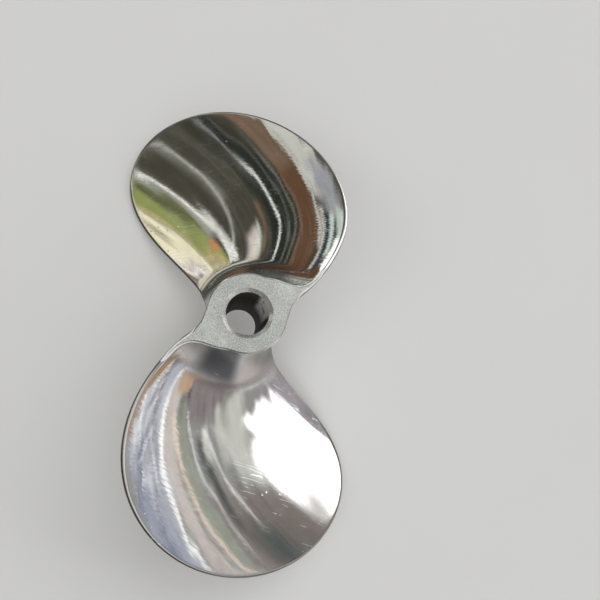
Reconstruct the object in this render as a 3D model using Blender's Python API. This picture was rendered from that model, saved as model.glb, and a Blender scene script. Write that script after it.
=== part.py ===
"""A two-bladed left-hand propeller for a small boat's shaft, cast in one piece of aluminium.

The shaft's axis is Z. The origin is on that axis in the plane of the machined front face, and +Z
points out of that face. Each blade is drawn as sections on cylinders round the axis: on the cylinder
of one radius a section is a straight line at the pitch angle, bowed by the camber, with a thickness
to each side. One blade lies round the +Y direction, and the other is the same half a turn on.
"""

import math

import bmesh
import bpy
from mathutils import Matrix

# Hub
HUB_RADIUS = 0.0150
HUB_LENGTH = 0.0500
HUB_SIDES = 72
HUB_BEVEL = 0.0004
BORE_RADIUS = 0.0080
BORE_CHAMFER = 0.0014
BACK_FACING_RADIUS = 0.0180

# Blade plan: the chord is (ROOT_CHORD + CHORD_GROWTH * s) * sqrt(1 - s * s), with s from 0 on the hub
# to 1 at the tip
TIP_RADIUS = 0.1100
ROOT_CHORD = 0.0605
CHORD_GROWTH = 0.1325
ROOT_ANGLE = math.radians(78.0)
SKEW = math.radians(27.8)
TRAILING_TRIM = 0.0040
TRAILING_TRIM_REACH = 0.0040

# Blade twist and rake, as polynomials in s
PITCH_ANGLE = (math.radians(54.0), math.radians(-59.1), math.radians(25.5))
RAKE = (-0.0272, -0.0006, -0.0612, 0.0377)

# Camber as a part of the chord, a polynomial in s that is then faded by sqrt(1 - s * s). A blade is
# dished at the root, comes out flat about four fifths of the way along and is a little full at the tip
CAMBER = (0.1220, -0.1790, 0.0345)

# Half thicknesses
RIM_HALF = 0.0012
TIP_HALF = 0.0014
ROOT_HALF = 0.0028
RIM_ROUND = 0.0014

# Fillets where a blade meets the hub
FRONT_FILLET = 0.0150
BACK_FILLET = 0.0060
EDGE_FILLET = 0.0030
FILLET_START = 0.0147

# Near the hub the leading edge hooks forward and runs on past the front face, which cuts it flat and
# leaves the two horns of that face. The hook fades with the distance from the hub, over HOOK_REACH and
# by the power HOOK_FADE, and evenly across the chord towards the trailing edge
HOOK = 0.0065
HOOK_REACH = 0.0036
HOOK_FADE = 3
RUN_ON = 0.0088
RUN_ON_REACH = 0.0033

# Mesh steps of one blade
SPAN_STEPS = 20
CHORD_STEPS = 26
ROOT_RADII = (0.0125, 0.0147, 0.0150, 0.0156, 0.0165, 0.0179, 0.0198, 0.0221, 0.0248, 0.0280)

POLISHED_ALUMINIUM = (0.72, 0.72, 0.70, 1.0)


def clear_scene():
    for old in list(bpy.data.objects):
        bpy.data.objects.remove(old, do_unlink=True)


def polynomial(terms, s):
    return sum(term * s**power for power, term in enumerate(terms))


def fillet(radius, size):
    """How far a round fillet of this size stands out from the blade, at a radius past its start."""
    reach = max(radius - FILLET_START, 0.0)
    if reach >= size:
        return 0.0
    return size - math.sqrt(size**2 - (size - reach) ** 2)


def span_radii():
    """Radii of the sections, close together in the fillet and again towards the tip."""
    last_root = ROOT_RADII[-1]
    first = math.asin((last_root - HUB_RADIUS) / (TIP_RADIUS - HUB_RADIUS))
    radii = list(ROOT_RADII)
    for step in range(1, SPAN_STEPS):
        turn = first + (math.pi / 2 - first) * step / SPAN_STEPS
        radii.append(HUB_RADIUS + (TIP_RADIUS - HUB_RADIUS) * math.sin(turn))
    return radii


def section_line(radius):
    """The two half chords, the pitch angle and the middle (arc, z) of the section at a radius."""
    s = (radius - HUB_RADIUS) / (TIP_RADIUS - HUB_RADIUS)
    half_chord = 0.5 * (ROOT_CHORD + CHORD_GROWTH * s) * math.sqrt(max(1 - s * s, 0.0))
    flare = fillet(radius, EDGE_FILLET)
    past_hub = max(radius - HUB_RADIUS, 0.0)
    ahead = half_chord + flare + RUN_ON * math.exp(-((past_hub / RUN_ON_REACH) ** 2))
    behind = half_chord + flare - TRAILING_TRIM * math.exp(-((past_hub / TRAILING_TRIM_REACH) ** 2))
    arc = (ROOT_ANGLE + SKEW * s) * radius
    return ahead, behind, polynomial(PITCH_ANGLE, s), arc, polynomial(RAKE, s)


def half_thicknesses(radius, across):
    """Half thickness to the front and to the back, at a place across the chord from -1 to 1."""
    s = (radius - HUB_RADIUS) / (TIP_RADIUS - HUB_RADIUS)
    bulge = 1 - across**2
    middle = TIP_HALF + (ROOT_HALF - TIP_HALF) * (1 - s) ** 2
    plain = RIM_HALF + (middle - RIM_HALF) * bulge
    from_rim = 0.25 * (ROOT_CHORD + CHORD_GROWTH * s) * (1 - s * s) * bulge
    rounding_width = RIM_ROUND + fillet(radius, EDGE_FILLET)
    inward = min(from_rim / rounding_width, 1.0)
    rounding = math.sqrt(1 - (1 - inward) ** 2)
    front = (plain + fillet(radius, FRONT_FILLET)) * rounding
    back = (plain + fillet(radius, BACK_FILLET)) * rounding
    return front, back


def blade_point(radius, across, side):
    """A point of one blade: side is 1 on the front face, -1 on the back and 0 on the rim."""
    ahead, behind, pitch_angle, arc, z = section_line(radius)
    front, back = half_thicknesses(radius, across)
    along = across * (behind if across > 0 else ahead)
    s = (radius - HUB_RADIUS) / (TIP_RADIUS - HUB_RADIUS)
    camber = polynomial(CAMBER, s) * math.sqrt(max(1 - s * s, 0.0))
    bow = camber * (ahead + behind) * (1 - across**2)
    fade = 1 + (max(radius - HUB_RADIUS, 0.0) / HOOK_REACH) ** HOOK_FADE
    hook = HOOK * (0.5 - 0.5 * across) / fade
    offset = (front if side > 0 else back) * side - bow + hook
    arc += along * math.cos(pitch_angle) + offset * math.sin(pitch_angle)
    z += offset * math.cos(pitch_angle) - along * math.sin(pitch_angle)
    return (radius * math.cos(arc / radius), radius * math.sin(arc / radius), z)


def blade_mesh():
    """One closed blade: rings of points at rising radii, capped inside the hub and at the tip."""
    shape = bmesh.new()
    steps = [-math.cos(math.pi * i / CHORD_STEPS) for i in range(CHORD_STEPS + 1)]
    rings = []
    for radius in span_radii():
        ring = [shape.verts.new(blade_point(radius, across, 1)) for across in steps]
        for across in reversed(steps[1:-1]):
            ring.append(shape.verts.new(blade_point(radius, across, -1)))
        rings.append(ring)
    for low, high in zip(rings, rings[1:]):
        for i in range(len(low)):
            j = (i + 1) % len(low)
            shape.faces.new((low[i], low[j], high[j], high[i]))
    shape.faces.new(list(reversed(rings[0])))
    tip = shape.verts.new(blade_point(TIP_RADIUS, 0.0, 0))
    for i in range(len(rings[-1])):
        shape.faces.new((rings[-1][i], rings[-1][(i + 1) % len(rings[-1])], tip))
    bmesh.ops.recalc_face_normals(shape, faces=shape.faces)
    mesh = bpy.data.meshes.new("blade")
    shape.to_mesh(mesh)
    shape.free()
    return mesh


def turned_mesh(name, profile):
    """A closed solid turned round Z from (radius, z) points that start and end on the axis."""
    shape = bmesh.new()
    points = [shape.verts.new((radius, 0, z)) for radius, z in profile]
    edges = [shape.edges.new(pair) for pair in zip(points, points[1:])]
    bmesh.ops.spin(
        shape,
        geom=points + edges,
        cent=(0, 0, 0),
        axis=(0, 0, 1),
        angle=math.tau,
        steps=HUB_SIDES,
        use_merge=True,
    )
    bmesh.ops.remove_doubles(shape, verts=shape.verts, dist=1e-6)
    bmesh.ops.recalc_face_normals(shape, faces=shape.faces)
    mesh = bpy.data.meshes.new(name)
    shape.to_mesh(mesh)
    shape.free()
    return mesh


def hub_mesh():
    rim = HUB_RADIUS - HUB_BEVEL
    profile = (
        (0, 0),
        (rim, 0),
        (HUB_RADIUS, -HUB_BEVEL),
        (HUB_RADIUS, HUB_BEVEL - HUB_LENGTH),
        (rim, -HUB_LENGTH),
        (0, -HUB_LENGTH),
    )
    return turned_mesh("hub", profile)


def bore_mesh():
    """The bore with a chamfer at each mouth, running past both faces of the hub."""
    past = BORE_CHAMFER
    wide = BORE_RADIUS + 2 * BORE_CHAMFER
    profile = (
        (0, past),
        (wide, past),
        (BORE_RADIUS, -BORE_CHAMFER),
        (BORE_RADIUS, BORE_CHAMFER - HUB_LENGTH),
        (wide, -HUB_LENGTH - past),
        (0, -HUB_LENGTH - past),
    )
    return turned_mesh("bore", profile)


def facing_mesh(name, radius, near, far):
    return turned_mesh(name, ((0, far), (radius, far), (radius, near), (0, near)))


def add_object(name, mesh, helper=True):
    new = bpy.data.objects.new(name, mesh)
    bpy.context.scene.collection.objects.link(new)
    if helper:
        new.hide_render = True
        new.display_type = "WIRE"
    return new


def join(target, other, operation):
    modifier = target.modifiers.new(other.name, "BOOLEAN")
    modifier.operation = operation
    modifier.solver = "EXACT"
    modifier.object = other


def aluminium():
    material = bpy.data.materials.new("polished_aluminium")
    material.use_nodes = True
    shader = material.node_tree.nodes["Principled BSDF"]
    shader.inputs["Base Color"].default_value = POLISHED_ALUMINIUM
    shader.inputs["Metallic"].default_value = 1.0
    shader.inputs["Roughness"].default_value = 0.22
    return material


def build_propeller():
    casting = add_object("propeller_casting", hub_mesh(), helper=False)
    blade = blade_mesh()
    for number, turn in enumerate((0.0, math.pi)):
        copy = add_object(f"blade_{number + 1}", blade.copy())
        copy.data.transform(Matrix.Rotation(turn, 4, "Z"))
        join(casting, copy, "UNION")
    front = facing_mesh("front_facing", 1.2 * TIP_RADIUS, 0.0, 0.5 * HUB_LENGTH)
    back = facing_mesh("back_facing", BACK_FACING_RADIUS, -HUB_LENGTH, -1.5 * HUB_LENGTH)
    bore = add_object("shaft_bore", bore_mesh())
    join(casting, add_object("front_facing", front), "DIFFERENCE")
    join(casting, add_object("back_facing", back), "DIFFERENCE")
    join(casting, bore, "DIFFERENCE")
    casting.data.materials.append(aluminium())
    casting.data.shade_smooth()
    casting.data.set_sharp_from_angle(angle=math.radians(35))


clear_scene()
build_propeller()
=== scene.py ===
# %% [markdown]
# A two-bladed boat propeller, cast in aluminium and polished by hand.
# Everything below is in metres. The shaft's axis is Z, and the flat front face of the hub lies at z = 0.
# This lesson makes the whole casting as one mesh: the blades come from a written rule in Geometry
# Nodes, the hub and its hole are turned, and machining cuts join and trim them, as in the workshop.

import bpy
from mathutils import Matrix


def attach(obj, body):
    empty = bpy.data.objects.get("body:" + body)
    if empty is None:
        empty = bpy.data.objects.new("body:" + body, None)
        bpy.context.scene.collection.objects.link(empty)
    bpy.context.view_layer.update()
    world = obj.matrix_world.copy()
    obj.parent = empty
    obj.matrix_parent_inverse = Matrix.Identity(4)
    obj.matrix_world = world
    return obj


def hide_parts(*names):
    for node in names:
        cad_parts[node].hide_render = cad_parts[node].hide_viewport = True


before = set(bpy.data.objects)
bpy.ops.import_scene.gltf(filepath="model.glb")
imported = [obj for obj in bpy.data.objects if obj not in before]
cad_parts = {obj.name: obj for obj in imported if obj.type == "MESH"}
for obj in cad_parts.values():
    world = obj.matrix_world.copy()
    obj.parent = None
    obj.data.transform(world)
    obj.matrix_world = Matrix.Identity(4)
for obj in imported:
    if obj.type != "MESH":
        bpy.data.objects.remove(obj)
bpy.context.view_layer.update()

# %% Modules
import math

import bmesh
import bpy
from mathutils import Matrix, Vector

# %% [markdown]
# ## Camera
# The photo was taken with a phone held above the hub, a hand's width away, so the perspective is
# strong. The place and the lens come from fitting both blades, which are the same form twice.

# %% Place the camera
CAMERA_PLACE = Vector((-0.0141, -0.0220, 0.1563))
CAMERA_LOOK = Vector((0.206, 0.172, -0.963)).normalized()
CAMERA_UP = Vector((-0.058, 0.985, 0.164))
LENS_MM = 25.75
SENSOR_MM = 36.0


def camera_matrix():
    right = CAMERA_LOOK.cross(CAMERA_UP).normalized()
    up = right.cross(CAMERA_LOOK)
    turn = Matrix((right, up, -CAMERA_LOOK)).transposed().to_4x4()
    return Matrix.Translation(CAMERA_PLACE) @ turn


camera = bpy.data.objects.new("camera", bpy.data.cameras.new("camera"))
bpy.context.scene.collection.objects.link(camera)
camera.matrix_world = camera_matrix()
camera.data.lens = LENS_MM
camera.data.sensor_width = SENSOR_MM
camera.data.clip_start = 0.01
bpy.context.scene.camera = camera
bpy.context.scene.view_settings.view_transform = "Standard"
print("Camera at", [round(value, 4) for value in camera.location])

# %% [markdown]
# ## Rules as nodes
# A node tree can hold a formula, but a long chain of Math nodes is hard to read. This small class
# stands for a number on its way through a tree: each sum or product on it adds one Math node, so the
# rule of the blade below reads like the formula on paper. It serves materials and light as well, and
# it knows its tree, so the helpers below needn't be told.


# %% A number in a node tree
def plug(value, socket):
    """Link a rule to a socket, or set the socket to a plain value."""
    if isinstance(value, Rule):
        value.tree.links.new(value.socket, socket)
    else:
        socket.default_value = value


def calculate(tree, operation, *values):
    node = tree.nodes.new("ShaderNodeMath")
    node.operation = operation
    for value, socket in zip(values, node.inputs):
        plug(value, socket)
    return Rule(tree, node.outputs[0])


class Rule:
    """A number on its way through a node tree."""

    def __init__(self, tree, socket):
        self.tree = tree
        self.socket = socket

    def use(self, operation, *others):
        return calculate(self.tree, operation, self, *others)

    def __add__(self, other):
        return self.use("ADD", other)

    __radd__ = __add__

    def __mul__(self, other):
        return self.use("MULTIPLY", other)

    def __sub__(self, other):
        return self.use("SUBTRACT", other)

    def __rsub__(self, other):
        return calculate(self.tree, "SUBTRACT", other, self)

    def __truediv__(self, other):
        return self.use("DIVIDE", other)

    def __pow__(self, power):
        return self.use("POWER", power)

    def at_least(self, low):
        return self.use("MAXIMUM", low)

    def at_most(self, high):
        return self.use("MINIMUM", high)

    def root(self):
        return self.at_least(0.0).use("SQRT")

    def step(self, low, high):
        """Rise smoothly from 0 at low to 1 at high, or fall where low is the larger."""
        node = self.tree.nodes.new("ShaderNodeMapRange")
        node.interpolation_type = "SMOOTHSTEP"
        plug(self, node.inputs["Value"])
        plug(low, node.inputs["From Min"])
        plug(high, node.inputs["From Max"])
        return Rule(self.tree, node.outputs[0])


# %% Vectors and noise for the same trees
def vector(*parts):
    tree = next(part.tree for part in parts if isinstance(part, Rule))
    node = tree.nodes.new("ShaderNodeCombineXYZ")
    for part, socket in zip(parts, node.inputs):
        plug(part, socket)
    return Rule(tree, node.outputs[0])


def split(value):
    node = value.tree.nodes.new("ShaderNodeSeparateXYZ")
    plug(value, node.inputs[0])
    return [Rule(value.tree, socket) for socket in node.outputs]


def noise(place, scale=1.0, detail=2.0, roughness=0.5):
    node = place.tree.nodes.new("ShaderNodeTexNoise")
    plug(place, node.inputs["Vector"])
    plug(scale, node.inputs["Scale"])
    plug(detail, node.inputs["Detail"])
    plug(roughness, node.inputs["Roughness"])
    return Rule(place.tree, node.outputs[0])


# %% [markdown]
# ## The blades
# A propeller blade is a piece of a screw. Cut it with a cylinder round the shaft, roll the cut flat,
# and you get a thin section: a nearly straight line at the pitch angle. The rule gives each section's
# chord, pitch angle, place round the shaft and place along it, all as functions of s, which runs from
# 0 on the hub to 1 at the tip. The same sizes shaped the CAD solid, so the two match.
#
# Modelling the blade by hand would take many control points and still ripple in a mirror finish. A
# Geometry Nodes tree that writes the rule for every point of a fine grid stays smooth everywhere. The
# grid is a square, and the blade's outline is half an ellipse, so the tree first folds the square
# onto half a disc. That spreads the points evenly and leaves no pole at the tip.

# %% Sizes of the blade
BLADE_SIZES = {
    "Hub radius": 0.0150,
    "Tip radius": 0.1100,
    "Root chord": 0.0605,
    "Chord growth": 0.1325,
    "Root angle": math.radians(78.0),
    "Skew": math.radians(27.8),
    "Root trim": 0.0040,
    "Root trim reach": 0.0040,
    "Pitch angle": math.radians(54.0),
    "Pitch angle slope": math.radians(-59.1),
    "Pitch angle bend": math.radians(25.5),
    "Rake": -0.0272,
    "Rake slope": -0.0006,
    "Rake bend": -0.0612,
    "Rake curl": 0.0377,
    "Camber": 0.1220,
    "Camber slope": -0.1790,
    "Camber bend": 0.0345,
    "Rim half thickness": 0.0012,
    "Tip half thickness": 0.0014,
    "Root half thickness": 0.0028,
    "Rim rounding": 0.0014,
    "Front fillet": 0.0150,
    "Back fillet": 0.0060,
    "Edge fillet": 0.0030,
    "Fillet start": 0.0147,
    "Hook": 0.0065,
    "Hook reach": 0.0036,
    "Run on": 0.0088,
    "Run on reach": 0.0033,
}

# %% Marks of the hand, which the CAD solid leaves out
BLADE_MARKS = {
    "Belt ripple": 0.00005,
    "Edge ripple": 0.00008,
    "Rim unevenness": 0.00008,
    "Filed bevel depth": 0.00045,
    "Filed bevel width": 0.0024,
    "Filed bevel reach": 0.0190,
}
ACROSS_STEPS = 131
SPAN_STEPS = 131
print("The blade rule has", len(BLADE_SIZES), "sizes and", len(BLADE_MARKS), "marks")


# %% Start a tree with named inputs
def geometry_tree(name, numbers, material):
    """A new Geometry Nodes tree, and the values of its group input as rules."""
    tree = bpy.data.node_groups.new(name, "GeometryNodeTree")
    face = tree.interface
    face.new_socket("Geometry", in_out="INPUT", socket_type="NodeSocketGeometry")
    for label, value in numbers.items():
        kind = "NodeSocketInt" if isinstance(value, int) else "NodeSocketFloat"
        face.new_socket(label, in_out="INPUT", socket_type=kind).default_value = value
    face.new_socket(material, in_out="INPUT", socket_type="NodeSocketMaterial")
    face.new_socket("Geometry", in_out="OUTPUT", socket_type="NodeSocketGeometry")
    source = tree.nodes.new("NodeGroupInput")
    given = {socket.name: Rule(tree, socket) for socket in source.outputs if socket.name}
    return tree, given


def after(tree, source, kind):
    """A new node that takes its geometry from another node."""
    node = tree.nodes.new(kind)
    tree.links.new(source.outputs[0], node.inputs[0])
    return node


def input_names(tree):
    items = tree.interface.items_tree
    return {item.name: item.identifier for item in items if item.in_out == "INPUT"}


# %% [markdown]
# ### From a square to half a disc
# The square's columns run from the leading edge to the trailing edge, its rows from the hub to the
# tip. Rows and columns crowd together by a sine or cosine near the rim and in the fillet, where the
# form turns fast. The first few rows lie inside the hub, where the two faces close against each other.

# %% The disc coordinates
ROWS_IN_HUB = 0.03
FILLET_START_SPAN = -0.0032
SPAN_OF_HUB_ROWS = 0.28
TINY = 0.000001


def disc_place(tree):
    """Across and span on the unit half disc, and how open the two faces are, from 0 to 1."""
    position = tree.nodes.new("GeometryNodeInputPosition")
    left_right, low_high, _ = split(Rule(tree, position.outputs[0]))
    across = (left_right * (math.pi / 2)).use("SINE")
    row = (low_high * 0.5 + 0.5) * (1 + ROWS_IN_HUB) - ROWS_IN_HUB
    start = FILLET_START_SPAN
    rising = 0.5 - (row.at_least(0.0) * math.pi).use("COSINE") * 0.5
    span = rising * (1 - start) + start + row.at_most(0.0) * SPAN_OF_HUB_ROWS
    square = span * span
    a = across * (1 - square + square * square * 0.5).root()
    s = span * (1 - across * across * square * 0.5).root()
    open_part = ((row + ROWS_IN_HUB) * (2 / ROWS_IN_HUB)).at_most(1.0)
    return a, s, open_part


# %% [markdown]
# ### The fillet and the rim
# A round fillet of a size stands out by that whole size at its start and by nothing one size further
# out. The rim is a half round: the thickness closes to nothing at the outline by a quarter circle.


# %% Fillet, section line and thickness
HOOK_FADE = 3


def fillet(radius, start, size):
    reach = (radius - start).at_least(0.0).at_most(size)
    return size - (size * size - (size - reach) ** 2).root()


def fading(past_hub, height, reach):
    return height * ((past_hub / reach) ** 2 * -1).use("EXPONENT")


def section(given, a, s):
    """Values that the front and the back of a section share."""
    radius = given["Hub radius"] + (given["Tip radius"] - given["Hub radius"]) * s
    past_hub = (radius - given["Hub radius"]).at_least(0.0)
    chord = given["Root chord"] + given["Chord growth"] * s
    from_tip = (1 - s * s).at_least(TINY)
    rim = (from_tip - a * a - 2 * TINY).at_least(0.0)
    across_2 = (a * a / from_tip).at_most(1.0)
    across = across_2.root() * a.use("SIGN")
    flare = fillet(radius, given["Fillet start"], given["Edge fillet"])
    run_on = fading(past_hub, given["Run on"], given["Run on reach"])
    trim = fading(past_hub, given["Root trim"], given["Root trim reach"])
    along = chord * a * 0.5 + across * flare
    along = along + across.at_most(0.0) * run_on - across.at_least(0.0) * trim
    extra = (flare * 2 + run_on - trim) * from_tip.root() * (1 - across_2)
    camber = given["Camber"] + s * (given["Camber slope"] + s * given["Camber bend"])
    bow = camber * (chord * rim + extra)
    hook = given["Hook"] * (0.5 - across * 0.5).at_least(0.0)
    hook = hook / (1 + (past_hub / given["Hook reach"]) ** HOOK_FADE)
    inward = (chord * rim * 0.25 / (given["Rim rounding"] + flare)).at_most(1.0)
    lead_distance = (1 + across) * (chord * from_tip.root() * 0.5 + flare + run_on)
    return radius, past_hub, across, across_2, along, hook - bow, inward, lead_distance


def half_thickness(given, radius, s, across_2, inward, fillet_size):
    middle = given["Tip half thickness"]
    middle = middle + (given["Root half thickness"] - given["Tip half thickness"]) * (1 - s) ** 2
    plain = given["Rim half thickness"]
    plain = plain + (middle - given["Rim half thickness"]) * (1 - across_2)
    rounding = (1 - (1 - inward) ** 2).root()
    return (plain + fillet(radius, given["Fillet start"], fillet_size)) * rounding


# %% [markdown]
# ### Marks of the hand
# The blade was ground and polished by hand on a belt, so it isn't a perfect mirror. Long shallow
# ripples run from the root to the tip, stronger towards the leading edge, and they make the wavy
# streaks in its reflections. The rim wanders a little. Beside the horn of the hub the leading edge
# was filed flat, which fades out along the edge. The ripples are a few hundredths of a millimetre
# high and the file took off up to half a millimetre. All of it is real shape and belongs in the mesh.


# %% Ripples, rim and file marks
WIDE_WAVES = 5.0
NARROW_WAVES = 14.0
RIM_WAVES = 9.0
LEAD_ZONE = (0.030, 0.004)


def hand_marks(given, a, s, side, past_hub, inward, lead_distance):
    number = given["Seed"] + side * 3.0 + 3.0
    wide = noise(vector(a * WIDE_WAVES + s * 0.7, s * 0.9, number), 1.0, 1.0)
    along_lead = vector(a * NARROW_WAVES + s * 1.5, s * 1.6, number + 7.0)
    narrow = noise(along_lead, 1.0, 1.0)
    near_lead = lead_distance.step(*LEAD_ZONE)
    ripple = (wide - 0.5) * given["Belt ripple"] * 4.0
    ripple = ripple + (narrow - 0.5) * given["Edge ripple"] * (near_lead * 0.85 + 0.15) * 2.0
    rim_noise = noise(vector(a * RIM_WAVES, s * RIM_WAVES, given["Seed"]), 1.0, 3.0)
    uneven = (rim_noise - 0.5) * given["Rim unevenness"] * (1 - inward) * 2.0
    marks = ripple * inward + uneven
    if side > 0:
        filed = lead_distance.use("DIVIDE", given["Filed bevel width"])
        filed = (1 - filed).at_least(0.0) * given["Filed bevel depth"]
        marks = marks - filed * inward * (past_hub / given["Filed bevel reach"]).step(1.0, 0.3)
    return marks


# %% [markdown]
# ### One face of the blade, then the whole blade
# Each face is one grid. The tree stores where each point lies across the chord and along the span,
# for the materials, and then moves the points onto the rule. The two faces meet along the whole rim
# and inside the hub, where merging the doubled points closes the blade into a solid.


# %% One face
def blade_face(tree, given, side):
    grid = tree.nodes.new("GeometryNodeMeshGrid")
    grid.inputs["Size X"].default_value = 2.0
    grid.inputs["Size Y"].default_value = 2.0
    plug(given["Across steps"], grid.inputs["Vertices X"])
    plug(given["Span steps"], grid.inputs["Vertices Y"])
    a, s, open_part = disc_place(tree)
    radius, past_hub, across, across_2, along, middle, inward, lead = section(given, a, s)
    size = given["Front fillet"] if side > 0 else given["Back fillet"]
    thick = half_thickness(given, radius, s, across_2, inward, size) * open_part
    marks = hand_marks(given, a, s, side, past_hub, inward, lead) * open_part
    offset = thick * side + middle + marks
    pitch = given["Pitch angle"] + given["Pitch angle slope"] * s + given["Pitch angle bend"] * s * s
    sine = pitch.use("SINE")
    cosine = pitch.use("COSINE")
    rake = given["Rake"] + s * (given["Rake slope"] + s * (given["Rake bend"] + s * given["Rake curl"]))
    arc = (along * cosine + offset * sine) / radius
    angle = given["Root angle"] + given["Skew"] * s + arc + given["Turn"]
    height = rake + offset * cosine - along * sine
    place = vector(radius * angle.use("COSINE"), radius * angle.use("SINE"), height)

    keep = after(tree, grid, "GeometryNodeStoreNamedAttribute")
    keep.data_type = "FLOAT2"
    keep.domain = "CORNER"
    keep.inputs["Name"].default_value = "unrolled"
    plug(vector(a * 0.5 + 0.5, s, 0.0), keep.inputs["Value"])
    move = after(tree, keep, "GeometryNodeSetPosition")
    plug(place, move.inputs["Position"])
    return after(tree, move, "GeometryNodeFlipFaces") if side > 0 else move


# %% The blade tree
MERGE_DISTANCE = 0.00001


def blade_tree():
    numbers = dict(BLADE_SIZES)
    numbers.update(BLADE_MARKS)
    numbers.update({"Across steps": ACROSS_STEPS, "Span steps": SPAN_STEPS, "Turn": 0.0, "Seed": 1.0})
    tree, given = geometry_tree("blade_rule", numbers, "Finish")
    both = tree.nodes.new("GeometryNodeJoinGeometry")
    for side in (-1.0, 1.0):
        tree.links.new(blade_face(tree, given, side).outputs[0], both.inputs[0])
    merge = after(tree, both, "GeometryNodeMergeByDistance")
    merge.inputs["Distance"].default_value = MERGE_DISTANCE
    real = after(tree, merge, "GeometryNodeRealizeInstances")
    finish = after(tree, real, "GeometryNodeSetMaterial")
    plug(given["Finish"], finish.inputs["Material"])
    after(tree, finish, "NodeGroupOutput")
    return tree


blade_rule = blade_tree()
print("The blade tree has", len(blade_rule.nodes), "nodes")

# %% [markdown]
# ## Finishes
# The whole propeller is one metal, but four kinds of work show on it. The blades are polished, the
# front face of the hub was faced on a lathe and stays matt, the hole was bored and is painted dark as
# shade, and edges that a file or a chamfer tool touched are bright. Each finish is a metal shader whose
# roughness, bump and colour follow procedural patterns at the real scale of the marks.


# %% Start a material
def start_material(name, metallic=1.0):
    """A new material, its shader, and the object coordinates in metres."""
    material = bpy.data.materials.new(name)
    material.use_nodes = True
    tree = material.node_tree
    shader = tree.nodes["Principled BSDF"]
    shader.inputs["Metallic"].default_value = metallic
    coordinates = tree.nodes.new("ShaderNodeTexCoord")
    return material, shader, Rule(tree, coordinates.outputs["Object"])


def turned(place, angle, scale):
    """Coordinates turned round Z and then stretched, for patterns with a direction."""
    node = place.tree.nodes.new("ShaderNodeMapping")
    node.vector_type = "TEXTURE"
    node.inputs["Rotation"].default_value = (0.0, 0.0, math.radians(angle))
    node.inputs["Scale"].default_value = [1 / value for value in scale]
    plug(place, node.inputs["Vector"])
    return Rule(place.tree, node.outputs[0])


def blend(low, high, amount):
    """A colour between two colours."""
    node = amount.tree.nodes.new("ShaderNodeMix")
    node.data_type = "RGBA"
    plug(amount, node.inputs["Factor"])
    ends = [socket for socket in node.inputs if socket.type == "RGBA"]
    for value, socket in zip((low, high), ends):
        plug(value if isinstance(value, Rule) else (*value, 1.0), socket)
    return Rule(amount.tree, [socket for socket in node.outputs if socket.type == "RGBA"][0])


def cells(place, scale):
    """Distance to the nearest of many scattered points, in cell widths."""
    node = place.tree.nodes.new("ShaderNodeTexVoronoi")
    plug(place, node.inputs["Vector"])
    node.inputs["Scale"].default_value = scale
    return Rule(place.tree, node.outputs["Distance"])


def scattered(place, scale, size, groups, low, high):
    """Specks of a size, thick on the ground only in loose groups."""
    specks = cells(place, scale).step(size, size - 0.10)
    return specks * noise(place, groups, 2.0).step(low, high)


def hairline(value, width):
    """A thin line where a soft noise passes its middle value."""
    return (value - 0.5).use("ABSOLUTE").step(width, 0.0)


def dress(shader, colour, roughness, height, distance):
    """Colour, roughness and bump of a finish. The distance is the bump's depth in metres."""
    plug(colour, shader.inputs["Base Color"])
    plug(roughness, shader.inputs["Roughness"])
    node = height.tree.nodes.new("ShaderNodeBump")
    node.inputs["Distance"].default_value = distance
    plug(height, node.inputs["Height"])
    plug(Rule(height.tree, node.outputs[0]), shader.inputs["Normal"])


# %% Colours of the metal, as linear light
METAL = {
    "mirror": (0.78, 0.77, 0.74),
    "satin": (0.80, 0.79, 0.78),
    "polished": (0.86, 0.87, 0.86),
    # Painted shade: the dark of the root corner and of the rim line.
    "corner": (0.11, 0.125, 0.135),
    "rim shade": (0.30, 0.27, 0.24),
    "pore": (0.95, 0.93, 0.88),
    "scratch": (0.93, 0.93, 0.92),
    "face low": (0.46, 0.48, 0.45),
    "face high": (0.54, 0.56, 0.53),
    # Painted sheen on the face towards the horns.
    "face sheen": (0.72, 0.74, 0.71),
    "face dark grain": (0.28, 0.30, 0.27),
    "face light grain": (0.88, 0.90, 0.86),
    "face pit": (0.13, 0.12, 0.11),
    "face scratch": (0.85, 0.86, 0.85),
    # Painted shade: the near black of the hole's wall, mottled.
    "bore deep shade": (0.010, 0.008, 0.006),
    "bore shade mottle": (0.055, 0.045, 0.034),
    "bore ring": (0.36, 0.32, 0.27),
    # Painted light: the bright patch on the lit side of the hole.
    "bore lit patch": (0.96, 0.95, 0.88),
    "bore spot": (0.05, 0.042, 0.034),
    "edge low": (0.90, 0.90, 0.89),
    "edge high": (0.97, 0.97, 0.96),
    "hub low": (0.76, 0.75, 0.73),
    "hub high": (0.85, 0.85, 0.84),
    "hub pit": (0.40, 0.37, 0.33),
}


def stain(base, amount, name):
    return blend(base, METAL[name], amount)


# %% [markdown]
# ### Hand polish
# The polish is a mirror under fine scratches. Hairlines from the last belt cross the blade at a slant.
# Deeper scratches are few. Nicks and specks sit in loose groups, where the casting had pores. Along
# the rim the polish is rougher, because the wheel runs off there. In the corner under the front face
# the wheel didn't reach, so the metal there is duller, and its darker colour is painted shade: the dark
# that the mirror shows in that corner. One blade of this propeller is more satin than the other, hazier
# at its root and with more painted shade along its rim, so these three are values of the function.


# %% The polish of a blade
HAIRS_PER_METRE = (1500.0, 210.0, 260.0)
FINE_HAIRS_PER_METRE = (4200.0, 420.0, 500.0)
LONG_SCRATCH_SCALE = (420.0, 14.0, 40.0)
CROSS_SCRATCH_SCALE = (600.0, 30.0, 60.0)
CORNER_DIRECTION = (0.407, 0.914)


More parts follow.
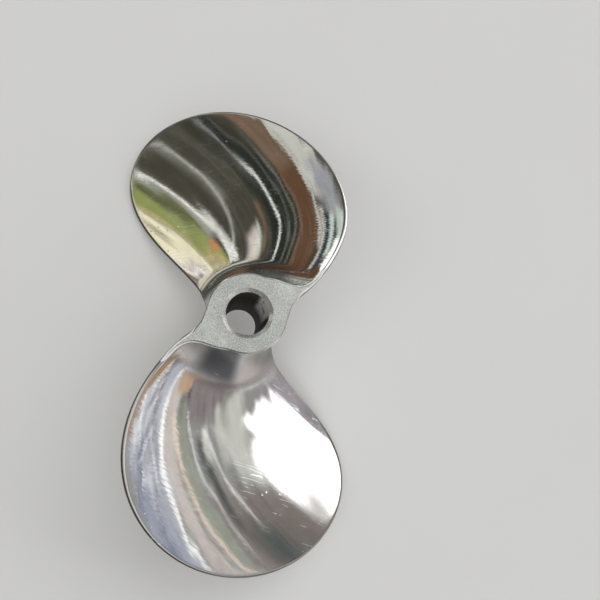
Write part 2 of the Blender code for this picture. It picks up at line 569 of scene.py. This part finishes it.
def hand_polish(name, haze, stroke, slant, tint, root_haze, rim_shade):
    material, shader, place = start_material(name)
    uv = place.tree.nodes.new("ShaderNodeUVMap")
    uv.uv_map = "unrolled"
    a, s, _ = split(Rule(place.tree, uv.outputs[0]))
    a = a * 2 - 1
    rim = 1 - a * a - s * s
    near_rim = rim.step(0.10, 0.0)
    towards_lead = (a * -1).step(-0.25, 0.75)

    hairs = noise(turned(place, slant, HAIRS_PER_METRE), 1.0, 1.0)
    fine = noise(turned(place, slant, FINE_HAIRS_PER_METRE), 1.0, 2.0)
    soft = noise(place, 70.0, 3.0, 0.6)
    line = noise(turned(place, slant + 24, LONG_SCRATCH_SCALE), 1.0, 1.0)
    cross = noise(turned(place, slant - 61, CROSS_SCRATCH_SCALE), 1.0, 1.0)
    scratch = hairline(line, 0.006) * soft.step(0.50, 0.62)
    scratch = scratch + hairline(cross, 0.006) * soft.step(0.58, 0.66) * 0.5
    pores = scattered(place, 300.0, 0.20, 42.0, 0.58, 0.68)
    x, y, _ = split(place)
    # Painted shade in the root corner under the front face, where the mirror shows dark; the polish
    # there is also rougher.
    facing_corner = x * CORNER_DIRECTION[0] + y * CORNER_DIRECTION[1]
    facing_corner = facing_corner.use("ABSOLUTE") / (x * x + y * y).root()
    near_root = s.step(0.19, 0.09)
    corner = facing_corner.step(0.89, 0.98) * near_root

    roughness = haze + (soft - 0.5) * haze + (fine - 0.5) * haze * (0.5 + towards_lead)
    roughness = roughness + near_rim * 0.08 + scratch * 0.10 + pores * 0.25
    roughness = roughness + rim.step(0.03, 0.0) * 0.2 + near_root * root_haze + corner * 0.05
    roughness = roughness.at_least(0.03).at_most(0.6)

    colour = stain(METAL[tint], soft.step(0.35, 0.7), "polished")
    # Painted shade: the root corner and the rim line are darkened in colour.
    colour = stain(colour, corner * 0.9, "corner")
    colour = stain(colour, rim.step(0.055, 0.015) * rim_shade, "rim shade")
    colour = stain(colour, pores * 0.8, "pore")
    colour = stain(colour, scratch * 0.7, "scratch")
    height = (hairs - 0.5) * stroke * (0.12 + towards_lead * 1.4) + (fine - 0.5) * stroke * 0.4
    height = height + (soft - 0.5) * 0.5 - pores * 1.5 - scratch * 0.35
    dress(shader, colour, roughness, height, 0.000012)
    return material


# The last value is how much painted shade darkens the rim line.
mirror_polish = hand_polish("mirror_polish", 0.040, 0.5, 74, "mirror", 0.13, 0.1)
satin_polish = hand_polish("satin_polish", 0.046, 0.6, 42, "satin", 0.30, 0.75)

# %% [markdown]
# ### Faced, bored and filed metal
# A facing cut leaves fine rings round the shaft, here mostly worn into a matt, grainy grey with stray
# scratches and pin pits, and a painted sheen lightens it towards the horns. The hole is painted dark
# as shade, with tool rings near its mouth and a bright, mottled patch of painted light. Filed edges are
# bright.


# %% The front face of the hub
HORN_DIRECTION = (0.94, 0.34)


def turned_face():
    material, shader, place = start_material("turned_face")
    x, y, _ = split(place)
    radius = (x * x + y * y).root()
    rings = noise(vector(radius * 9000.0, 0.0, 0.0), 1.0, 2.0)
    grain = noise(place, 2100.0, 3.0, 0.7)
    cloud = noise(place, 150.0, 3.0, 0.6)
    line = noise(turned(place, 35, (500.0, 40.0, 40.0)), 1.0, 1.0)
    scratch = hairline(line, 0.012) * cloud.step(0.45, 0.6)
    pits = scattered(place, 620.0, 0.20, 180.0, 0.54, 0.64)
    towards_horn = (x * HORN_DIRECTION[0] + y * HORN_DIRECTION[1]).use("ABSOLUTE")
    # Painted sheen: a lighter colour towards the horns stands in for a highlight there, where the face
    # is also a little smoother.
    painted_light = towards_horn.step(0.006, 0.017) * cloud.step(0.25, 0.55)
    roughness = 0.34 + (cloud - 0.5) * 0.06 + (grain - 0.5) * 0.14 + pits * 0.2 - painted_light * 0.06
    colour = stain(METAL["face low"], cloud.step(0.3, 0.7), "face high")
    colour = stain(colour, painted_light * 0.45, "face sheen")
    colour = stain(colour, grain.step(0.50, 0.62) * 0.75, "face dark grain")
    colour = stain(colour, grain.step(0.48, 0.36) * 0.6, "face light grain")
    colour = stain(colour, pits * 0.85, "face pit")
    colour = stain(colour, scratch * 0.5, "face scratch")
    height = (rings - 0.5) * 0.8 + (grain - 0.5) * 1.4 - pits * 2.0 - scratch
    dress(shader, colour, roughness, height, 0.00001)
    return material


# %% The hole
def bore_skin():
    material, shader, place = start_material("bore_skin")
    x, y, z = split(place)
    rings = noise(vector(0.0, 0.0, z * 2600.0), 1.0, 2.0)
    blotches = noise(turned(place, 0, (260.0, 260.0, 110.0)), 1.0, 4.0, 0.65)
    spots = noise(place, 900.0, 3.0, 0.7)
    # Painted light: a bright, mottled patch on the lit side of the hole, which is also less rough and
    # more metallic there.
    painted_light = x.step(0.0020, 0.0045) * y.step(-0.0016, 0.0008) * y.step(0.0070, 0.0056)
    painted_light = painted_light * z.step(-0.034, -0.020) * blotches.step(0.30, 0.46)
    roughness = 0.60 + (blotches - 0.5) * 0.25 + (spots - 0.5) * 0.15 - painted_light * 0.22
    plug(0.1 + painted_light * 0.25, shader.inputs["Metallic"])
    shader.inputs["Specular IOR Level"].default_value = 0.2
    # Painted shade: the wall is coloured near black, mottled, as the shade inside the hole.
    colour = stain(METAL["bore deep shade"], blotches.step(0.3, 0.7), "bore shade mottle")
    ringed = rings.step(0.52, 0.64) * z.step(-0.014, -0.002)
    colour = stain(colour, ringed * 0.9, "bore ring")
    # Painted light: the bright patch on the lit side of the hole.
    colour = stain(colour, painted_light * 0.95, "bore lit patch")
    colour = stain(colour, spots.step(0.60, 0.72) * 0.8, "bore spot")
    height = (rings - 0.5) * 1.5 + (spots - 0.5) * 1.2
    dress(shader, colour, roughness, height, 0.00003)
    return material


# %% Edges and the outside of the hub
def filed_edge():
    material, shader, place = start_material("filed_edge")
    grain = noise(place, 2400.0, 3.0, 0.6)
    cloud = noise(place, 300.0, 2.0)
    roughness = 0.28 + (grain - 0.5) * 0.14 + (cloud - 0.5) * 0.08
    colour = stain(METAL["edge low"], cloud.step(0.3, 0.7), "edge high")
    dress(shader, colour, roughness, grain, 0.000006)
    return material


def hub_polish():
    material, shader, place = start_material("hub_polish")
    rings = noise(turned(place, 0, (120.0, 120.0, 2200.0)), 1.0, 2.0)
    cloud = noise(place, 110.0, 3.0, 0.6)
    pits = scattered(place, 330.0, 0.18, 70.0, 0.55, 0.66)
    roughness = 0.17 + (rings - 0.5) * 0.16 + (cloud - 0.5) * 0.12 + pits * 0.2
    colour = stain(METAL["hub low"], cloud.step(0.3, 0.7), "hub high")
    colour = stain(colour, pits * 0.8, "hub pit")
    height = (rings - 0.5) + (cloud - 0.5) * 0.8 - pits * 2.0
    dress(shader, colour, roughness, height, 0.000012)
    return material


face_finish = turned_face()
bore_finish = bore_skin()
edge_finish = filed_edge()
hub_finish = hub_polish()
print("Finishes:", [material.name for material in bpy.data.materials if material.use_nodes])

# %% [markdown]
# ## Two blades from one tree
# Both blades take the same tree. Only the half turn, the seed of the hand's marks and the finish
# differ, so the blades agree in form and differ in detail, as two hand-finished blades do.


# %% Run the blade tree twice
def link(name, mesh):
    new = bpy.data.objects.new(name, mesh)
    bpy.context.scene.collection.objects.link(new)
    return new


def flat_mesh(source):
    """The evaluated object as a new plain mesh."""
    graph = bpy.context.evaluated_depsgraph_get()
    return bpy.data.meshes.new_from_object(source.evaluated_get(graph), depsgraph=graph)


def drop(thing):
    bpy.data.objects.remove(thing, do_unlink=True)


def make_blade(name, turn, seed, finish):
    carrier = link(name + "_carrier", bpy.data.meshes.new(name + "_carrier"))
    modifier = carrier.modifiers.new("rule", "NODES")
    modifier.node_group = blade_rule
    names = input_names(blade_rule)
    modifier[names["Turn"]] = turn
    modifier[names["Seed"]] = seed
    modifier[names["Finish"]] = finish
    mesh = flat_mesh(carrier)
    drop(carrier)
    return link(name, mesh)


blade_1 = make_blade("blade_1", 0.0, 1.0, mirror_polish)
blade_2 = make_blade("blade_2", math.pi, 20.0, satin_polish)
print("One blade:", len(blade_1.data.vertices), "points,", len(blade_1.data.polygons), "faces")

# %% [markdown]
# ## Hub, hole and machining cuts
# These are lathe work, so a profile is spun round the axis. The hub's rod joins the two blades. Then
# a facing cut takes everything above the front face, which leaves the two horns where the leading
# edges run into it, a second one squares the back, and a drill makes the hole with its chamfers. The
# hole's wall has shallow tool rings near both mouths.

# %% Sizes of the hub
HUB_RADIUS = 0.0150
HUB_LENGTH = 0.0500
HUB_BEVEL = 0.0004
BORE_RADIUS = 0.0080
BORE_CHAMFER = 0.0014
BACK_FACING_RADIUS = 0.0180
TIP_RADIUS = 0.1100
HUB_SIDES = 180
ROD_STEPS = 24
ROD_RUN_ON = 0.002
RING_DEPTH = 0.00006
RING_FADE = 0.010
RING_PITCH = 0.0016
HOLE_STEPS = 110
HOLE_SIDES = 120


# %% Close a shape into an object
def solid(name, shape, finish):
    """The shape as an object of one finish, with its faces pointing out."""
    bmesh.ops.recalc_face_normals(shape, faces=shape.faces)
    mesh = bpy.data.meshes.new(name)
    shape.to_mesh(mesh)
    shape.free()
    mesh.materials.append(finish)
    return link(name, mesh)


# %% Spin a profile
def turned_solid(name, profile, finish, sides=HUB_SIDES):
    """A closed solid turned round Z from (radius, z) points that start and end on the axis."""
    shape = bmesh.new()
    points = [shape.verts.new((radius, 0, z)) for radius, z in profile]
    edges = [shape.edges.new(pair) for pair in zip(points, points[1:])]
    bmesh.ops.spin(
        shape,
        geom=points + edges,
        cent=(0, 0, 0),
        axis=(0, 0, 1),
        angle=math.tau,
        steps=sides,
        use_merge=True,
    )
    bmesh.ops.remove_doubles(shape, verts=shape.verts, dist=1e-7)
    return solid(name, shape, finish)


# %% Profiles of the rod and the cuts
def hub_rod():
    rim = HUB_RADIUS - HUB_BEVEL
    low = HUB_BEVEL - HUB_LENGTH
    profile = [(0, ROD_RUN_ON), (HUB_RADIUS, ROD_RUN_ON)]
    profile += [(HUB_RADIUS, low * step / ROD_STEPS) for step in range(1, ROD_STEPS + 1)]
    profile += [(rim, -HUB_LENGTH), (0, -HUB_LENGTH)]
    return turned_solid("hub_rod", profile, hub_finish)


def ring_mark(depth):
    """How deep the tool rings cut at a depth below the mouth: they fade into the hole."""
    wave = 0.5 + 0.5 * math.sin(depth * math.tau / RING_PITCH)
    return RING_DEPTH * math.exp(-depth / RING_FADE) * wave


def shaft_hole():
    past = BORE_CHAMFER
    wide = BORE_RADIUS + 2 * BORE_CHAMFER
    profile = [(0, past), (wide, past)]
    length = HUB_LENGTH - 2 * BORE_CHAMFER
    for step in range(HOLE_STEPS + 1):
        depth = length * step / HOLE_STEPS
        radius = BORE_RADIUS + ring_mark(depth) + ring_mark(length - depth)
        profile.append((radius, -BORE_CHAMFER - depth))
    profile += [(wide, -HUB_LENGTH - past), (0, -HUB_LENGTH - past)]
    hole = turned_solid("shaft_hole", profile, bore_finish, HOLE_SIDES)
    hole.data.materials.append(edge_finish)
    for polygon in hole.data.polygons:
        mouth = abs(polygon.center.z + HUB_LENGTH / 2) > HUB_LENGTH / 2 - BORE_CHAMFER
        polygon.material_index = 1 if mouth else 0
    return hole


def facing(name, radius, near, far, finish):
    return turned_solid(name, [(0, far), (radius, far), (radius, near), (0, near)], finish, 96)


# %% Join and cut
def combine(target, other, operation, doubled=False):
    modifier = target.modifiers.new(other.name, "BOOLEAN")
    modifier.operation = operation
    modifier.solver = "EXACT"
    modifier.material_mode = "TRANSFER"
    modifier.use_self = doubled
    modifier.object = other


def worked(target, name, helpers):
    """The target with its cuts made real, as a new object, without the helpers."""
    mesh = flat_mesh(target)
    for helper in helpers:
        drop(helper)
    drop(target)
    mesh.name = name
    return link(name, mesh)


rod = hub_rod()
cuts = [
    facing("front_cut", 1.2 * TIP_RADIUS, 0.0, 0.5 * HUB_LENGTH, face_finish),
    facing("back_cut", BACK_FACING_RADIUS, -HUB_LENGTH, -1.5 * HUB_LENGTH, face_finish),
    shaft_hole(),
]
combine(rod, blade_1, "UNION")
combine(rod, blade_2, "UNION")
for cut in cuts:
    combine(rod, cut, "DIFFERENCE")
casting = worked(rod, "casting_rough", [blade_1, blade_2] + cuts)
print("After the cuts:", len(casting.data.vertices), "points")

# %% [markdown]
# ## The bright line round the front face
# A narrow chamfer breaks the edge of the front face. A bevel on the mesh would tangle in the fine
# grid of the fillets. So a thin bar with a diamond section is swept along the edge and cut away, once
# for each half of the outline between the tips of the horns. What it leaves is a true chamfer. An exact
# cut can still fail where two faces almost touch, and then it leaves a slit. So each cut is checked,
# and one that isn't closed is made again with a bar that is a hair's breadth larger or smaller. A
# few stray open edges may stay, because merging double points closes them later.

# %% Find the outline of the face
CHAMFER = 0.00050
FEW_OPEN_EDGES = 8
BAR_SPACING = 0.0004
BAR_SMOOTHING = 6
BAR_CHANGES = (1.0, 1.04, 0.96, 1.08, 0.92)


def edge_loops(pairs):
    """Chain pairs of point numbers into closed loops."""
    follow = {}
    for first, second in pairs:
        follow.setdefault(first, []).append(second)
        follow.setdefault(second, []).append(first)
    loops = []
    while follow:
        current = next(iter(follow))
        loop = []
        while current in follow:
            loop.append(current)
            after = follow[current].pop()
            if not follow[current]:
                del follow[current]
            if after not in follow:
                break
            follow[after].remove(current)
            if not follow[after]:
                del follow[after]
                loop.append(after)
                break
            current = after
        loops.append(loop)
    return loops


def outline_loop(mesh):
    """Points of the outer edge of the front face, in order."""
    seen = {}
    for polygon in mesh.polygons:
        if polygon.center.z > -1e-6 and polygon.normal.z > 0.9:
            for key in polygon.edge_keys:
                seen[key] = seen.get(key, 0) + 1
    loops = edge_loops([key for key, count in seen.items() if count == 1])
    lines = [[mesh.vertices[index].co.to_2d() for index in loop] for loop in loops]
    return max(lines, key=lambda line: sum((b - a).length for a, b in zip(line, line[1:])))


def even_points(points, spacing):
    """The same line with points at an even spacing."""
    result = [points[0]]
    left = spacing
    for first, second in zip(points, points[1:]):
        length = (second - first).length
        while length >= left:
            first = first + (second - first) * (left / length)
            length -= left
            left = spacing
            result.append(first)
        left -= length
    return result


outline = outline_loop(casting.data)
print("The outline of the front face has", len(outline), "points")


# %% Sweep the diamond bar along each half
def half_outlines(points):
    """The outline between the two tips of the horns, both ways round."""
    first = max(range(len(points)), key=lambda index: points[index].length)
    points = points[first:] + points[:first]
    away = [-points[0].dot(point) for point in points]
    second = max(range(len(points)), key=lambda index: away[index])
    return points[: second + 1], points[second:] + [points[0]]


def diamond_bar(name, line, size):
    line = even_points(line, BAR_SPACING)
    smooth = list(line)
    for _ in range(BAR_SMOOTHING):
        for index in range(1, len(line) - 1):
            smooth[index] = (line[index - 1] + line[index] * 2 + line[index + 1]) / 4
        line = list(smooth)
    line = [line[0] * 2 - line[2]] + line + [line[-1] * 2 - line[-3]]
    shape = bmesh.new()
    rings = []
    for index, point in enumerate(line):
        low = line[max(index - 1, 0)]
        high = line[min(index + 1, len(line) - 1)]
        along = (high - low).normalized()
        out = Vector((along.y, -along.x))
        corners = (
            (point.x + out.x * size, point.y + out.y * size, 0.0),
            (point.x, point.y, size),
            (point.x - out.x * size, point.y - out.y * size, 0.0),
            (point.x, point.y, -size),
        )
        rings.append([shape.verts.new(corner) for corner in corners])
    for low, high in zip(rings, rings[1:]):
        for index in range(4):
            follow = (index + 1) % 4
            shape.faces.new((low[index], low[follow], high[follow], high[index]))
    shape.faces.new(list(reversed(rings[0])))
    shape.faces.new(rings[-1])
    return solid(name, shape, edge_finish)


# %% Cut and check
def open_edge_count(mesh):
    shape = bmesh.new()
    shape.from_mesh(mesh)
    count = sum(1 for edge in shape.edges if not edge.is_manifold)
    shape.free()
    return count


def cut_chamfer(target, name, line):
    """Cut one chamfer into the target: the first bar that leaves it closed, or else the best one."""
    tries = []
    for change in BAR_CHANGES:
        bar = diamond_bar(name, line, CHAMFER * change)
        combine(target, bar, "DIFFERENCE")
        mesh = flat_mesh(target)
        target.modifiers.clear()
        drop(bar)
        tries.append((open_edge_count(mesh), len(tries), mesh))
        if tries[-1][0] < FEW_OPEN_EDGES:
            break
    best = min(tries)
    print(name, "took", len(tries), "tries and leaves", best[0], "open edges")
    target.data = best[2]


for number, half in enumerate(half_outlines(outline)):
    cut_chamfer(casting, f"chamfer_{number}", half)
propeller = worked(casting, "polished_casting", [])
print("With the chamfer:", len(propeller.data.vertices), "points")


# %% [markdown]
# ## Clean the mesh
# Boolean cuts leave slivers and stray double points. They are merged, the surface is shaded smooth
# and every real corner is marked sharp, so a mirror finish doesn't bend round the edges. A volume
# above zero shows that the faces point outwards.


# %% Merge, shade and check
SHARP_ANGLE = 30
DOUBLES = 0.000002


def clean(target):
    shape = bmesh.new()
    shape.from_mesh(target.data)
    bmesh.ops.remove_doubles(shape, verts=shape.verts, dist=DOUBLES)
    bmesh.ops.dissolve_degenerate(shape, edges=shape.edges, dist=DOUBLES / 2)
    volume = shape.calc_volume(signed=True)
    triangles = sum(len(face.verts) - 2 for face in shape.faces)
    shape.to_mesh(target.data)
    shape.free()
    target.data.shade_smooth()
    target.data.set_sharp_from_angle(angle=math.radians(SHARP_ANGLE))
    print("Open edges:", open_edge_count(target.data), "triangles:", triangles)
    print("Volume in cm3:", round(volume * 1e6, 2))


clean(propeller)
print("Materials:", [slot.material.name for slot in propeller.material_slots])
print("UV maps:", [layer.name for layer in propeller.data.uv_layers])
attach(propeller, "root")
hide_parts("propeller_casting")

# %% [markdown]
# ## Floor
# A pale, plain sheet under the lowest point of the blades. It catches their soft shadow. In a mirror
# finish such a bright sheet would drown the roots of the blades, so the polish doesn't show it. The
# strips of light run on below the horizon instead, as they do over a dark table top.


# %% Lay the floor
FLOOR_DARK = (0.76, 0.76, 0.75)
FLOOR_LIGHT = (0.80, 0.80, 0.79)
FLOOR_GAP = 0.0002
FLOOR_HALF_WIDTH = 3.0


def floor_material():
    material, shader, place = start_material("pale_floor", 0.0)
    shader.inputs["Roughness"].default_value = 0.7
    shader.inputs["Specular IOR Level"].default_value = 0.2
    cloud = noise(place, 9.0, 3.0, 0.6)
    plug(blend(FLOOR_DARK, FLOOR_LIGHT, cloud), shader.inputs["Base Color"])
    return material


def lay_floor(height):
    mesh = bpy.data.meshes.new("floor")
    half = FLOOR_HALF_WIDTH
    corners = [(-half, -half), (half, -half), (half, half), (-half, half)]
    mesh.from_pydata([(*corner, height) for corner in corners], [], [(0, 1, 2, 3)])
    mesh.materials.append(floor_material())
    floor = link("floor", mesh)
    floor.visible_glossy = False


lowest = min(vertex.co.z for vertex in propeller.data.vertices)
lay_floor(lowest - FLOOR_GAP)
print("Floor at", round(lowest - FLOOR_GAP, 5))

# %% [markdown]
# ## Studio light
# A polished blade has hardly any colour of its own: it shows the room. So the light is the larger
# half of this likeness. The room is dark and olive round one blade and grey round the other, with
# long upright strips of light, as from tall windows and lamps behind screens. The propeller lies a
# few degrees out of level, so the strips' upright isn't quite the shaft's axis. Each strip is set by
# its compass direction round that upright. A low, strong lamp lights the chamfers. Large soft boxes in
# the directions that no blade mirrors to the camera make the pale, even light on the floor.

# %% The tones of the room, as linear light
TONES = {
    "white": (1.30, 1.30, 1.26),
    "glare": (3.2, 3.2, 3.15),
    "silver": (0.66, 0.66, 0.61),
    "mint": (0.66, 0.76, 0.68),
    "cream": (0.85, 0.78, 0.66),
    "straw": (0.58, 0.48, 0.24),
    "butter": (1.05, 0.97, 0.72),
    "green": (0.33, 0.37, 0.13),
    "fern": (0.15, 0.16, 0.055),
    "moss": (0.36, 0.38, 0.32),
    "olive": (0.078, 0.073, 0.055),
    "night": (0.026, 0.030, 0.025),
    "coal": (0.045, 0.034, 0.026),
    "brown": (0.145, 0.077, 0.044),
    "umber": (0.215, 0.145, 0.100),
    "coral": (0.90, 0.24, 0.13),
    "taupe": (0.68, 0.61, 0.58),
    "mauve": (0.36, 0.33, 0.36),
    "peach": (0.94, 0.79, 0.67),
    "amber": (0.42, 0.27, 0.165),
    "sand": (0.62, 0.43, 0.30),
    "lilac": (0.55, 0.565, 0.645),
    "haze": (0.40, 0.43, 0.53),
    "dusk": (0.20, 0.22, 0.31),
    "shade": (0.38, 0.385, 0.41),
    "steel": (0.22, 0.22, 0.19),
    "grey": (0.34, 0.34, 0.33),
    "rose": (0.29, 0.25, 0.255),
    "smoke": (0.24, 0.205, 0.19),
    "ink": (0.045, 0.053, 0.070),
    "gloom": (0.115, 0.125, 0.12),
}

# %% The strips: compass direction in degrees, width, softness, top and foot in degrees, lean, tone
UPPER_STRIPS = (
    (121.8, 11, 3, 40, 76, 0, "silver"),
    (119, 9, 6, 66, 92, 0, "shade"),
    (116, 4, 1.4, 84, 104, 0, "mint"),
    (116.9, 5.6, 1.4, 100, 124, 0, "white"),
    (118.7, 1.7, 0.8, 89, 108, 0.04, "ink"),
    (121, 2.6, 0.9, 86, 112, 0.02, "mint"),
    (123.7, 2.4, 0.9, 85, 124, 0, "ink"),
    (125.9, 1.4, 0.8, 80, 124, 0, "silver"),
    (127.8, 1.4, 0.6, 40, 104, 0, "silver"),
    (132.7, 8, 0.6, 62, 124, 0, "brown"),
    (132.9, 9, 1.2, 40, 65, 0, "umber"),
    (136.9, 0.8, 0.6, 66, 112, 0, "umber"),
    (138.2, 1.3, 0.6, 66, 112, 0, "coal"),
    (139.2, 0.6, 0.5, 60, 112, 0, "steel"),
    (140.8, 1.6, 0.8, 60, 112, 0, "night"),
    (142.5, 0.6, 0.5, 40, 112, -0.01, "steel"),
    (144.4, 3.6, 0.6, 40, 112, 0, "night"),
    (148.6, 3, 1.4, 62, 112, 0, "night"),
    (146.6, 0.7, 0.4, 40, 112, 0, "grey"),
    (146.7, 0.6, 0.4, 60, 112, 0, "white"),
    (151.6, 1.2, 0.8, 70, 92, 0.08, "umber"),
    (156.8, 4.6, 2, 79, 100, 0, "taupe"),
    (155.4, 2.6, 1.6, 83, 100, 0.06, "cream"),
    (153.9, 0.9, 0.7, 77, 92, 0.10, "mint"),
    (160.6, 2.2, 2.2, 40, 64, 0.08, "steel"),
    (161.5, 0.5, 0.4, 50, 84, 0.2, "silver"),
    (165.7, 2.4, 1.4, 40, 69, -0.18, "moss"),
    (164.6, 0.6, 0.35, 40, 90, -0.18, "white"),
    (167, 1, 0.9, 40, 66, -0.16, "fern"),
    (168.3, 3.2, 0.9, 40, 92, -0.30, "green"),
    (168.9, 1, 0.8, 40, 92, -0.38, "straw"),
    (173.6, 5, 1, 40, 94, -0.39, "taupe"),
    (174.6, 1.6, 0.8, 40, 94, -0.39, "umber"),
    (170.6, 2, 0.7, 40, 92, -0.39, "butter"),
    (169.6, 0.4, 0.4, 40, 92, -0.39, "moss"),
    (172.9, 0.5, 0.4, 40, 94, -0.39, "white"),
    (167, 0.7, 0.6, 70, 73, -0.2, "coral"),
)
LOWER_STRIPS = (
    (-45, 13, 3, 30, 98, 0, "lilac"),
    (-46.6, 12, 3, 30, 56, 0, "haze"),
    (-52, 12, 6, 30, 46, 0, "dusk"),
    (-35.4, 4.6, 1.6, 54, 112, 0.05, "lilac"),
    (-47.6, 0.5, 0.4, 56, 96, 0.06, "white"),
    (-46.3, 0.4, 0.4, 56, 96, 0.04, "shade"),
    (-44.8, 0.8, 0.5, 58, 96, 0.06, "white"),
    (-40.5, 1.3, 0.7, 42, 70, 0.60, "dusk"),
    (-33.1, 0.9, 0.6, 40, 58, 0.62, "dusk"),
    (-43.5, 1.1, 0.6, 50, 78, 0.45, "dusk"),
    (-41.9, 0.5, 0.4, 40, 90, 0.03, "silver"),
    (-39.3, 0.6, 0.5, 58, 100, 0.05, "white"),
    (-37.3, 0.7, 0.6, 54, 98, 0.05, "shade"),
    (-34.7, 1.8, 0.8, 40, 112, 0.11, "white"),
    (-30.6, 5, 1.2, 40, 102, 0.06, "taupe"),
    (-27.6, 1.7, 1.2, 40, 84, -0.04, "peach"),
    (-24.6, 4.2, 0.9, 42, 90, -0.02, "moss"),
    (-21.3, 0.35, 0.25, 44, 85, -0.08, "white"),
    (-18, 2.3, 1.6, 48, 73, -0.04, "gloom"),
    (-16.2, 1.8, 1.2, 63, 76, 0, "silver"),
    (-15.3, 0.5, 0.4, 48, 76, -0.16, "white"),
    (-10.3, 2.4, 2.2, 62, 82, 0, "silver"),
    (-9.6, 4, 3.6, 56, 74, -0.45, "silver"),
    (-5.5, 5, 3, 56, 80, 0, "silver"),
    (5.8, 6.6, 1, 40, 100, -0.45, "mauve"),
    (0.1, 7.4, 1.6, 40, 69, -0.45, "glare"),
    (0.2, 5.6, 2, 51.5, 62, 0, "glare"),
    (-26.2, 6, 2.6, 94, 105, 0, "sand"),
    (-11.5, 9, 6, 38, 48, 0, "gloom"),
    (-23.2, 1.2, 0.8, 91, 96, 0, "gloom"),
    (-51.2, 3.2, 0.8, 68, 112, 0.30, "amber"),
    (-46.9, 0.5, 0.4, 66, 108, 0.24, "white"),
    (38, 36, 6, 76, 106, 0, "glare"),
)

# %% [markdown]
# The strips live in the world's shader. Three axes of the room turn the direction of a ray into a
# compass angle and an angle down from the upright, and these say which strip the ray meets. A lean is
# how far a strip shifts in compass for each degree that it comes down.

# %% Axes of the room, and the height at which a leaning strip has its own compass direction
WAIST = 70.0
ROOM_UP = Vector((0.0975, -0.0786, 0.9921)).normalized()
ROOM_NORTH = ROOM_UP.cross(Vector((1, 0, 0))).normalized()
ROOM_EAST = ROOM_NORTH.cross(ROOM_UP)
tilt = math.degrees(ROOM_UP.angle(Vector((0, 0, 1))))
print("The room's upright is", round(tilt, 1), "degrees off the shaft's axis")


# %% Angles of a direction
def along_axis(parts, axis):
    return parts[0] * axis.x + parts[1] * axis.y + parts[2] * axis.z


def ray_angles(tree):
    """Compass direction from -180 to 180 degrees, and the angle down from the upright."""
    coordinates = tree.nodes.new("ShaderNodeTexCoord")
    parts = split(Rule(tree, coordinates.outputs["Generated"]))
    east, north, up = [along_axis(parts, axis) for axis in (ROOM_EAST, ROOM_NORTH, ROOM_UP)]
    compass = north.use("ARCTAN2", east) * (180 / math.pi)
    down = up.at_least(-1.0).at_most(1.0).use("ARCCOSINE") * (180 / math.pi)
    return compass, down


def paint(base, amount, tone):
    return blend(base, TONES[tone], amount)


def band(value, middle, width, softness):
    half = width / 2
    return (value - middle).use("ABSOLUTE").step(half + softness / 2, max(half - softness / 2, 0.0))


def hang_strips(base, compass, down, strips):
    for middle, width, softness, top, foot, lean, tone in strips:
        tall = band(down, (top + foot) / 2, foot - top, 5.0)
        place = compass - (down - WAIST) * lean
        base = paint(base, band(place, middle, width, softness) * tall, tone)
    return base


# %% The two sides of the room
SIDE_EDGE = 85.0


def dark_side(compass, down):
    """The upper blade's side. Its strips bend a little below the horizon and again near the top."""
    around = compass + compass.use("LESS_THAN", 60.0) * 360.0
    bent = around - down.step(80.0, 106.0) * around.step(130.0, 144.0) * 4.2
    bent = bent - down.step(59.0, 52.0) * 1.4
    base = blend(TONES["olive"], TONES["night"], band(bent, 145.0, 10.0, 5.0) * 0.6)
    return hang_strips(base, bent, down, UPPER_STRIPS)


def grey_side(compass, down):
    """The lower blade's side."""
    base = blend(TONES["grey"], TONES["rose"], down.step(74.0, 84.0))
    base = paint(base, down.step(60.0, 50.0) * compass.step(-24.0, -18.0), "smoke")
    return hang_strips(base, compass, down, LOWER_STRIPS)


# %% Thin lines, as of slats and curtain folds
def thin_lines(base, compass, down):
    fine = noise(vector(compass * 1.3, down * 0.04, 0.0), 1.0, 2.0)
    base = paint(base, fine.step(0.50, 0.68) * 0.32, "night")
    base = paint(base, fine.step(0.46, 0.30) * 0.05, "white")
    leaning = compass - (down - WAIST) * 0.3
    lines = noise(vector(leaning * 2.2, down * 0.04, 7.0), 1.0, 1.0)
    near_lilac = band(leaning, -43.5, 11.0, 4.0)
    base = paint(base, lines.step(0.52, 0.58) * near_lilac * 0.7, "dusk")
    return paint(base, lines.step(0.46, 0.40) * near_lilac * 0.35, "white")


# %% Soft boxes, ceiling and ground: compass direction and width in degrees, and brightness
BOXES = ((64.0, 82.0, 1.9), (-104.0, 84.0, 1.0), (200.0, 36.0, 1.9))
BOX_MIDDLE = 43.0
BOX_HEIGHT = 42.0
CEILING_LIGHT = 0.80
GROUND_LIGHT = 0.30
BACKDROP = (0.78, 0.78, 0.77)


def plain_light(base, amount, level):
    return blend(base, (level, level, level), amount)


def soft_lights(base, compass, down, side):
    turn = compass + compass.use("LESS_THAN", -150.0) * 360.0
    for middle, width, level in BOXES:
        box = band(turn, middle, width, 8.0) * band(down, BOX_MIDDLE, BOX_HEIGHT, 10.0)
        base = plain_light(base, box, level)
    base = plain_light(base, down.step(40.0, 32.0), CEILING_LIGHT)
    foot = down.step(106.0, 116.0) * side + down.step(119.0, 126.0) * (1 - side)
    base = paint(base, foot * 0.8, "gloom")
    return plain_light(base, down.step(126.0, 140.0), GROUND_LIGHT)


# %% Build the world
def studio():
    world = bpy.data.worlds.new("studio")
    bpy.context.scene.world = world
    world.use_nodes = True
    tree = world.node_tree
    compass, down = ray_angles(tree)
    side = compass.use("ABSOLUTE").step(SIDE_EDGE + 1, SIDE_EDGE - 1)
    colour = blend(dark_side(compass, down), grey_side(compass, down), side)
    colour = thin_lines(colour, compass, down)
    colour = soft_lights(colour, compass, down, side)
    seen = tree.nodes.new("ShaderNodeLightPath")
    colour = blend(colour, BACKDROP, Rule(tree, seen.outputs["Is Camera Ray"]))
    plug(colour, tree.nodes["Background"].inputs["Color"])


studio()
print("The room has", len(UPPER_STRIPS) + len(LOWER_STRIPS), "strips of light")
